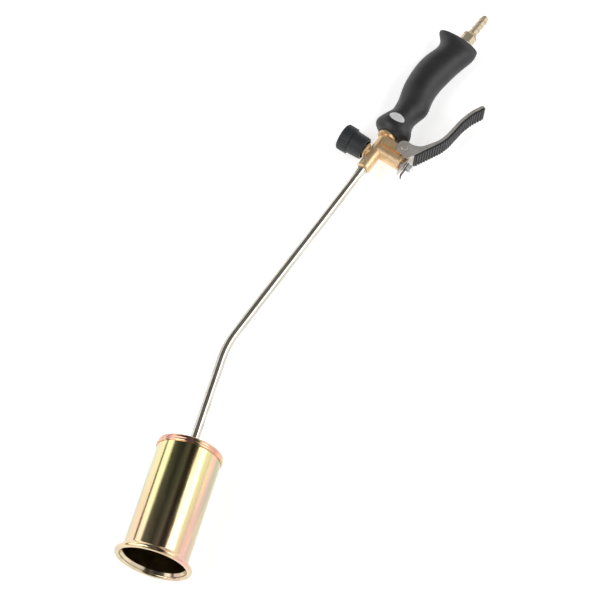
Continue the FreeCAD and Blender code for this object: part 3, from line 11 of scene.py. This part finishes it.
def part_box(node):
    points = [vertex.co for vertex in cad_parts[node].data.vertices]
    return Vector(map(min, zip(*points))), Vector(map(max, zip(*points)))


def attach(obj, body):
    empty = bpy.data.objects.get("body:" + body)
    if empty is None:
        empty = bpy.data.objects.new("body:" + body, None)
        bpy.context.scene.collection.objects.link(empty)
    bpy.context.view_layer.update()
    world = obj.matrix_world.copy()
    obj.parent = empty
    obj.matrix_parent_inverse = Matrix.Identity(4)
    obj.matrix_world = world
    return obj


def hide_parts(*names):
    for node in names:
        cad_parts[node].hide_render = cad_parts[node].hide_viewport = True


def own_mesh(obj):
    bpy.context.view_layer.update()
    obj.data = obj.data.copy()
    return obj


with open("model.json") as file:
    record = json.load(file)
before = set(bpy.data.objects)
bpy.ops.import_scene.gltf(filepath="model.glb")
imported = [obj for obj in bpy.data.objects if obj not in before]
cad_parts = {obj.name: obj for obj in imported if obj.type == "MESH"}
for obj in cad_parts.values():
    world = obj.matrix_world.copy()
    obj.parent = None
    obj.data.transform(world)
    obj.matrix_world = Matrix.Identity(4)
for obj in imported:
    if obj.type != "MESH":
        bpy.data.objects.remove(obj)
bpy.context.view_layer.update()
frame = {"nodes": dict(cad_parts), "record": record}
nodes = frame["nodes"]
joints = {joint["name"]: joint for joint in frame["record"]["behaviour"]["joints"]}


# ---------------------------------------------------------------- shader helpers

class Shader:
    """A node tree, of a material unless of_tree makes it, with short ways to add nodes."""

    def __init__(self, name):
        self.material = bpy.data.materials.new(name)
        self.material.use_nodes = True
        self.tree = self.material.node_tree
        self.surface = self.tree.nodes["Principled BSDF"]

    @classmethod
    def of_tree(cls, tree):
        """The same short ways for a tree that isn't a material's."""
        shader = cls.__new__(cls)
        shader.tree = tree
        return shader

    def set(self, **values):
        """Values of the surface's inputs, with underscores for the spaces in their names."""
        for name, value in values.items():
            self.surface.inputs[name.replace("_", " ")].default_value = value
        return self

    def add(self, kind, inputs=None, **settings):
        """A node with its settings, and its inputs joined to sockets or set to values."""
        node = self.tree.nodes.new(kind)
        for name, value in settings.items():
            setattr(node, name, value)
        for key, value in (inputs or {}).items():
            if isinstance(value, bpy.types.NodeSocket):
                self.tree.links.new(value, node.inputs[key])
            else:
                node.inputs[key].default_value = value
        return node

    def place(self):
        """Position in the object's own frame, in metres; a CAD node's is the whole torch's."""
        return self.add("ShaderNodeTexCoord").outputs["Object"]

    def local(self, matrix):
        """Position seen from a place given by its matrix."""
        inverse = matrix.inverted()
        moved = self.add("ShaderNodeMapping", {
            "Vector": self.place(), "Location": inverse.to_translation(),
            "Rotation": inverse.to_euler("XYZ")})
        return moved.outputs["Vector"]

    def stretched(self, vector, x, y, z):
        return self.add("ShaderNodeVectorMath", {0: vector, 1: (x, y, z)},
                        operation="MULTIPLY").outputs[0]

    def noise(self, vector, scale, detail=3.0, roughness=0.5, distortion=0.0):
        node = self.add("ShaderNodeTexNoise", {
            "Vector": vector, "Scale": scale, "Detail": detail, "Roughness": roughness,
            "Distortion": distortion})
        return node.outputs["Fac"]

    def ramp(self, fac, stops, smooth=True):
        """Colours along a value: each stop is a position and a colour."""
        node = self.add("ShaderNodeValToRGB", {"Fac": fac})
        node.color_ramp.interpolation = "EASE" if smooth else "LINEAR"
        elements = node.color_ramp.elements
        while len(elements) > 1:
            elements.remove(elements[-1])
        elements[0].position, elements[0].color = stops[0][0], (*stops[0][1], 1)
        for position, colour in stops[1:]:
            elements.new(position).color = (*colour, 1)
        return node.outputs["Color"]

    def spread(self, fac, low, high, start=0.3, end=0.7):
        """A value's range from start to end, laid over low to high and held there."""
        node = self.add("ShaderNodeMapRange", {
            "Value": fac, "From Min": start, "From Max": end, "To Min": low, "To Max": high})
        return node.outputs["Result"]

    def math(self, operation, first, second):
        return self.add("ShaderNodeMath", {0: first, 1: second}, operation=operation).outputs[0]

    def mix(self, fac, first, second):
        """Two colours mixed; each of the three may be a socket or a value."""
        node = self.add("ShaderNodeMix", data_type="RGBA")
        fac_input, first_input, second_input = (node.inputs[index] for index in (0, 6, 7))
        for value, target in ((fac, fac_input), (first, first_input), (second, second_input)):
            if isinstance(value, bpy.types.NodeSocket):
                self.tree.links.new(value, target)
            elif target == fac_input:
                target.default_value = value
            else:
                target.default_value = (*value, 1)
        return node.outputs[2]

    def split(self, vector):
        return self.add("ShaderNodeSeparateXYZ", {"Vector": vector}).outputs

    def colour(self, socket):
        self.tree.links.new(socket, self.surface.inputs["Base Color"])

    def rough(self, socket):
        self.tree.links.new(socket, self.surface.inputs["Roughness"])

    def bump(self, height, distance, strength, under=None):
        """Relief on the surface, over another relief if one is given."""
        inputs = {"Height": height, "Distance": distance, "Strength": strength}
        if under is not None:
            inputs["Normal"] = under
        node = self.add("ShaderNodeBump", inputs)
        self.tree.links.new(node.outputs["Normal"], self.surface.inputs["Normal"])
        return node.outputs["Normal"]


# ---------------------------------------------------------------- places

def middle_of(name):
    """Middle of a node's box."""
    low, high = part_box(name)
    return (Vector(low) + Vector(high)) / 2


def place_along(origin, x_axis, y_hint):
    """A place whose X runs along x_axis and whose Y is near y_hint."""
    x_axis = x_axis.normalized()
    z_axis = x_axis.cross(y_hint).normalized()
    y_axis = z_axis.cross(x_axis)
    matrix = Matrix((x_axis, y_axis, z_axis)).transposed().to_4x4()
    matrix.translation = origin
    return matrix


lever_axis = Vector(joints["lever_squeeze"]["axis"]).normalized()
knob_axis = Vector(joints["regulator_turn"]["axis"]).normalized()
grip_axis = knob_axis.cross(lever_axis)
bell_axis = (middle_of("burner_bell") - middle_of("bell_lock_nut")).normalized()

bell_place = place_along(middle_of("bell_lock_nut"), bell_axis, -knob_axis)
tube_place = place_along(middle_of("neck_ferrule"), -grip_axis, -knob_axis)


# ---------------------------------------------------------------- materials

def make_bell_zinc():
    """Yellow passivated zinc: a gold-green film that drifts to pink, over painted reflections in
    streaks along the bell: bright and dark bands set by the angle round it.
    """
    blush_start, blush_end = 0.03, 0.10
    film_share = 0.40
    s = Shader("yellow_zinc").set(Metallic=1.0)
    local = s.local(bell_place)
    x, y, z = s.split(local)[0:3]
    around = s.math("ARCTAN2", y, z)
    drift = s.noise(s.stretched(local, 5.0, 55.0, 55.0), 1.0, 3.0, 0.55, 0.4)
    film = s.ramp(drift, [
        (0.30, (0.44, 0.50, 0.24)), (0.42, (0.66, 0.62, 0.30)), (0.50, (0.80, 0.72, 0.40)),
        (0.58, (0.76, 0.58, 0.36)), (0.66, (0.70, 0.42, 0.34)), (0.74, (0.54, 0.50, 0.26))])
    turned = s.math("ADD", around, s.spread(drift, -0.35, 0.35))
    # Partly the film's own green and pink tint, partly painted reflection: bright bands and a dark
    # olive band with a reddish stripe, set by the angle round the bell, stand in for the studio's
    # light strips.
    side = s.ramp(s.spread(turned, 0.0, 1.0, -1.6, 1.6), [
        (0.08, (0.46, 0.56, 0.44)), (0.30, (0.86, 0.78, 0.36)), (0.44, (0.38, 0.38, 0.16)),
        (0.52, (0.52, 0.24, 0.14)), (0.58, (0.42, 0.40, 0.18)), (0.72, (0.86, 0.76, 0.34)),
        (0.86, (0.82, 0.48, 0.38)), (0.97, (0.42, 0.48, 0.32))])
    blush = s.spread(x, 0.0, 0.5, blush_start, blush_end)
    # The painted reflection bands, turned pink towards the mouth by the film's own blush.
    warm = s.mix(blush, side, (0.80, 0.46, 0.42))
    s.colour(s.mix(film_share, warm, film))
    fine = s.noise(s.stretched(local, 40.0, 900.0, 900.0), 1.0, 3.0, 0.6)
    s.rough(s.spread(fine, 0.11, 0.18))
    ripple = s.noise(s.stretched(local, 12.0, 60.0, 60.0), 1.0, 2.0, 0.5)
    under = s.bump(ripple, 0.0006, 0.4)
    s.bump(fine, 0.00002, 0.4, under)
    return s.material


def make_cap_zinc():
    """The pressed back cap: the same film, turned copper and pink where the sheet is bent."""
    s = Shader("copper_zinc").set(Metallic=1.0, Roughness=0.2)
    local = s.local(bell_place)
    tone = s.noise(s.stretched(local, 30.0, 70.0, 70.0), 1.0, 3.0)
    s.colour(s.ramp(tone, [(0.32, (0.76, 0.60, 0.32)), (0.48, (0.76, 0.44, 0.30)),
                           (0.60, (0.66, 0.34, 0.29)), (0.72, (0.80, 0.64, 0.42))]))
    s.bump(s.noise(s.stretched(local, 900.0, 60.0, 60.0), 1.0, 2.0), 0.00002, 0.4)
    return s.material


def make_holder_zinc():
    """The jet holder and its lock nut: a thin olive film on turned steel."""
    s = Shader("olive_zinc").set(Metallic=1.0, Roughness=0.28)
    place = s.place()
    tone = s.noise(place, 160.0, 3.0)
    s.colour(s.ramp(tone, [(0.35, (0.42, 0.38, 0.15)), (0.6, (0.62, 0.55, 0.26)),
                           (0.72, (0.60, 0.40, 0.24))]))
    s.bump(s.noise(place, 2600.0, 3.0), 0.00003, 0.5)
    return s.material


def make_plain_steel():
    """Bare steel inside the bell and the grip."""
    s = Shader("plain_steel").set(Metallic=1.0)
    place = s.place()
    tone = s.noise(place, 120.0, 4.0)
    s.colour(s.ramp(tone, [(0.3, (0.30, 0.27, 0.22)), (0.7, (0.48, 0.45, 0.40))]))
    s.rough(s.spread(tone, 0.3, 0.5))
    s.bump(s.noise(place, 3000.0, 3.0), 0.00003, 0.5)
    return s.material


def make_nickel():
    """Plated tube: bright, with a faint warm cast and fine polishing lines round it."""
    s = Shader("nickel_plate").set(Metallic=0.88, Roughness=0.14)
    local = s.local(tube_place)
    tone = s.noise(s.stretched(local, 30.0, 200.0, 200.0), 1.0, 3.0)
    s.colour(s.ramp(tone, [(0.3, (0.58, 0.54, 0.46)), (0.7, (0.76, 0.72, 0.64))]))
    lines = s.noise(s.stretched(local, 2600.0, 90.0, 90.0), 1.0, 2.0)
    s.rough(s.spread(lines, 0.12, 0.22))
    s.bump(lines, 0.000012, 0.4)
    return s.material


def make_brass(name, light, dark, forged=False):
    """Brass with a fine grain, and with the soft lumps of a forging if it is forged."""
    s = Shader(name).set(Metallic=0.72)
    place = s.place()
    tone = s.noise(place, 150.0, 4.0, 0.55)
    s.colour(s.ramp(tone, [(0.3, dark), (0.7, light)]))
    s.rough(s.spread(s.noise(place, 420.0, 3.0), 0.34, 0.5))
    grain = s.noise(place, 1500.0, 4.0, 0.6)
    if forged:
        under = s.bump(s.noise(place, 260.0, 3.0), 0.00025, 0.35)
        s.bump(grain, 0.00006, 0.6, under)
    else:
        s.bump(grain, 0.00002, 0.4)
    return s.material


def make_plastic(name, dark, light, roughness, grain, distance):
    """Moulded plastic: grain is the scale of its skin and distance the skin's depth."""
    s = Shader(name).set(Metallic=0.0, IOR=1.5)
    place = s.place()
    tone = s.noise(place, 60.0, 3.0)
    s.colour(s.ramp(tone, [(0.3, dark), (0.7, light)]))
    s.rough(s.spread(s.noise(place, 200.0, 3.0), roughness - 0.05, roughness + 0.05))
    s.bump(s.noise(place, grain, 4.0, 0.6), distance, 0.8)
    return s.material


def make_plated_sheet(name, dark, light, smoothest, roughest, metallic=0.7):
    """Plain or plated metal, with a finish that drifts from smoothest to roughest."""
    s = Shader(name).set(Metallic=metallic)
    place = s.place()
    tone = s.noise(place, 90.0, 4.0, 0.6)
    s.colour(s.ramp(tone, [(0.3, dark), (0.7, light)]))
    s.rough(s.spread(s.noise(place, 340.0, 3.0), smoothest, roughest))
    s.bump(s.noise(place, 1800.0, 3.0), 0.00003, 0.5)
    return s.material


def make_rubber():
    """Dull black rubber of the seals."""
    s = Shader("seal_rubber").set(Metallic=0.0)
    place = s.place()
    s.colour(s.ramp(s.noise(place, 300.0), [(0.3, (0.012, 0.012, 0.012)),
                                            (0.7, (0.03, 0.03, 0.03))]))
    s.rough(s.spread(s.noise(place, 900.0), 0.55, 0.75))
    s.bump(s.noise(place, 4000.0), 0.00003, 0.5)
    return s.material


def give(thing, material):
    """Put a material in all of an object's own slots."""
    for slot in thing.material_slots:
        slot.link = "OBJECT"
        slot.material = material


def paint(material, *names):
    """Give CAD nodes a material through their own material slots."""
    for name in names:
        if not nodes[name].material_slots:
            nodes[name].data.materials.append(material)
        give(nodes[name], material)


paint(make_bell_zinc(), "burner_bell")
paint(make_cap_zinc(), "bell_back_cap")
paint(make_holder_zinc(), "jet_holder", "bell_lock_nut")
paint(make_plain_steel(), "burner_cup", "supply_tube")
paint(make_nickel(), "neck_tube")
paint(make_brass("forged_brass", (0.92, 0.68, 0.41), (0.80, 0.55, 0.30), forged=True),
      "valve_body")
paint(make_brass("turned_brass", (0.93, 0.70, 0.43), (0.82, 0.58, 0.33)),
      "neck_nut", "neck_ferrule", "valve_gland", "regulator_gland", "gas_jet",
      "regulator_needle", "regulator_spindle")
paint(make_brass("pale_brass", (0.76, 0.67, 0.50), (0.66, 0.55, 0.38)), "hose_tail")
paint(make_rubber(), "valve_o_ring", "regulator_o_ring", "valve_disc", "tail_seal")
paint(make_plastic("grip_plastic", (0.022, 0.022, 0.023), (0.032, 0.032, 0.033),
                   roughness=0.46, grain=2200.0, distance=0.00008),
      "grip")
paint(make_plastic("knob_plastic", (0.020, 0.022, 0.023), (0.028, 0.030, 0.032),
                   roughness=0.44, grain=2600.0, distance=0.00005),
      "regulator_knob", "knob_cap")
paint(make_plastic("cover_plastic", (0.024, 0.024, 0.025), (0.034, 0.034, 0.035),
                   roughness=0.5, grain=2200.0, distance=0.00006),
      "lever_cover")
paint(make_plated_sheet("plated_sheet", (0.58, 0.54, 0.49), (0.74, 0.70, 0.65),
                        smoothest=0.3, roughest=0.42, metallic=0.6),
      "lever_channel", "lever_pin", "end_washer", "valve_stem")
paint(make_plated_sheet("bright_zinc", (0.74, 0.74, 0.76), (0.88, 0.88, 0.90),
                        smoothest=0.16, roughest=0.28, metallic=0.5),
      "stem_washer", "stem_lock_nut", "stem_cap_nut", "knob_screw")
paint(make_plated_sheet("dark_strip", (0.05, 0.05, 0.055), (0.10, 0.10, 0.105),
                        smoothest=0.3, roughest=0.45),
      "lock_hook")
paint(make_plated_sheet("badge_metal", (0.74, 0.74, 0.75), (0.86, 0.86, 0.87),
                        smoothest=0.3, roughest=0.42, metallic=0.1),
      "grip_badge")
spring_wire = make_plated_sheet("spring_wire", (0.40, 0.40, 0.40), (0.55, 0.55, 0.55),
                                smoothest=0.25, roughest=0.35)
paint(spring_wire, "valve_spring")


# ---------------------------------------------------------------- fine detail

def make_valve_spring(material):
    """The valve's coil as a piece of its own, which the stem's collar presses on the gland."""
    coil = nodes["valve_spring"]
    piece = coil.copy()
    piece.data = coil.data.copy()
    piece.name = "coil_spring"
    bpy.context.scene.collection.objects.link(piece)
    give(piece, material)
    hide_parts("valve_spring")
    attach(piece, "torch")
    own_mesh(piece)


def soften(width, *names):
    """A narrow bevel on the sharp edges, so that they catch the light."""
    sharp_from = math.radians(40)
    for name in names:
        bevel = nodes[name].modifiers.new("edge", "BEVEL")
        bevel.width = width
        bevel.segments = 2
        bevel.limit_method = "ANGLE"
        bevel.angle_limit = sharp_from
        bevel.harden_normals = False


wide_edge, narrow_edge = 0.00035, 0.0002

make_valve_spring(spring_wire)
soften(wide_edge, "valve_body", "neck_nut", "valve_gland", "regulator_gland", "hose_tail")
soften(narrow_edge, "lever_channel", "stem_cap_nut", "stem_lock_nut", "stem_washer",
       "lock_hook")


# ---------------------------------------------------------------- floor, light and camera

def make_floor():
    """A pale floor just under the torch, which shines a little so that shadows stay faint."""
    grid_size, gap, glow = 4.0, 0.0005, 0.55
    mesh = bmesh.new()
    bmesh.ops.create_grid(mesh, x_segments=8, y_segments=8, size=grid_size)
    data = bpy.data.meshes.new("floor")
    mesh.to_mesh(data)
    mesh.free()
    floor = bpy.data.objects.new("floor", data)
    bpy.context.scene.collection.objects.link(floor)
    s = Shader("pale_floor").set(Roughness=0.9, Specular_IOR_Level=0.0,
                                 Emission_Color=(1.0, 1.0, 1.0, 1.0), Emission_Strength=glow)
    s.colour(s.ramp(s.noise(s.place(), 3.0), [(0.0, (0.93, 0.93, 0.93)),
                                              (1.0, (0.95, 0.95, 0.95))]))
    floor.data.materials.append(s.material)
    floor.location.z = -gap


def make_world():
    """A room lit in strips that run along the bell: the light depends on the angle round it."""
    world = bpy.data.worlds.new("studio")
    bpy.context.scene.world = world
    world.use_nodes = True
    s = Shader.of_tree(world.node_tree)
    way = s.add("ShaderNodeTexCoord").outputs["Generated"]
    aside = Vector((0, 0, 1)).cross(bell_axis).normalized()
    overhead = bell_axis.cross(aside).normalized()
    across = s.add("ShaderNodeVectorMath", {0: way, 1: aside}, operation="DOT_PRODUCT")
    above = s.add("ShaderNodeVectorMath", {0: way, 1: overhead}, operation="DOT_PRODUCT")
    turn = s.math("ARCTAN2", across.outputs["Value"], above.outputs["Value"])
    share = s.spread(turn, 0.0, 1.0, -math.pi, math.pi)

    def at(degrees, light):
        """A stop for an angle from overhead and the light that comes from there."""
        return ((degrees + 180.0) / 360.0, (light, light, light))

    strips = s.ramp(share, [
        at(-180, 1.0), at(-92, 0.7), at(-89, 0.10), at(-82, 0.08), at(-79, 1.5), at(-60, 1.5),
        at(-54, 0.10), at(-20, 0.03), at(2, 0.16), at(12, 0.02), at(28, 0.05), at(36, 0.9),
        at(60, 1.1), at(92, 0.9), at(112, 0.6)], smooth=False)
    background = world.node_tree.nodes["Background"]
    world.node_tree.links.new(strips, background.inputs["Color"])
    background.inputs["Strength"].default_value = 1.0


def make_softbox(name, location, side, power):
    """A square area light that looks at the frame's origin."""
    light = bpy.data.lights.new(name, "AREA")
    light.shape = "RECTANGLE"
    light.size, light.size_y = side, side
    light.energy = power
    thing = bpy.data.objects.new(name, light)
    bpy.context.scene.collection.objects.link(thing)
    thing.location = location
    thing.rotation_mode = "QUATERNION"
    thing.rotation_quaternion = (-Vector(location)).to_track_quat("-Z", "Y")


def make_camera():
    """The camera stands high on the bell's side and looks down the torch."""
    azimuth, elevation, roll = math.radians(-59.70), math.radians(64.74), math.radians(4.01)
    aim, distance = Vector((-0.03172, 0.00472, 0.018)), 2.12950
    focal_length, sensor_width = 136.9, 36.0
    back = Vector((math.sin(azimuth) * math.cos(elevation),
                   -math.cos(azimuth) * math.cos(elevation), math.sin(elevation)))
    level = Vector((math.cos(azimuth), math.sin(azimuth), 0))
    upward = back.cross(level)
    right = level * math.cos(roll) + upward * math.sin(roll)
    upward = back.cross(right)
    data = bpy.data.cameras.new("camera")
    data.lens = focal_length
    data.sensor_width = sensor_width
    camera = bpy.data.objects.new("camera", data)
    bpy.context.scene.collection.objects.link(camera)
    matrix = Matrix((right, upward, back)).transposed().to_4x4()
    matrix.translation = aim + back * distance
    camera.matrix_world = matrix
    bpy.context.scene.camera = camera


make_floor()
make_world()
make_softbox("key", (-0.9, 1.2, 1.8), side=1.4, power=18)
make_softbox("fill", (1.0, -1.2, 1.4), side=1.0, power=8)
make_camera()
bpy.context.scene.view_settings.view_transform = "Standard"
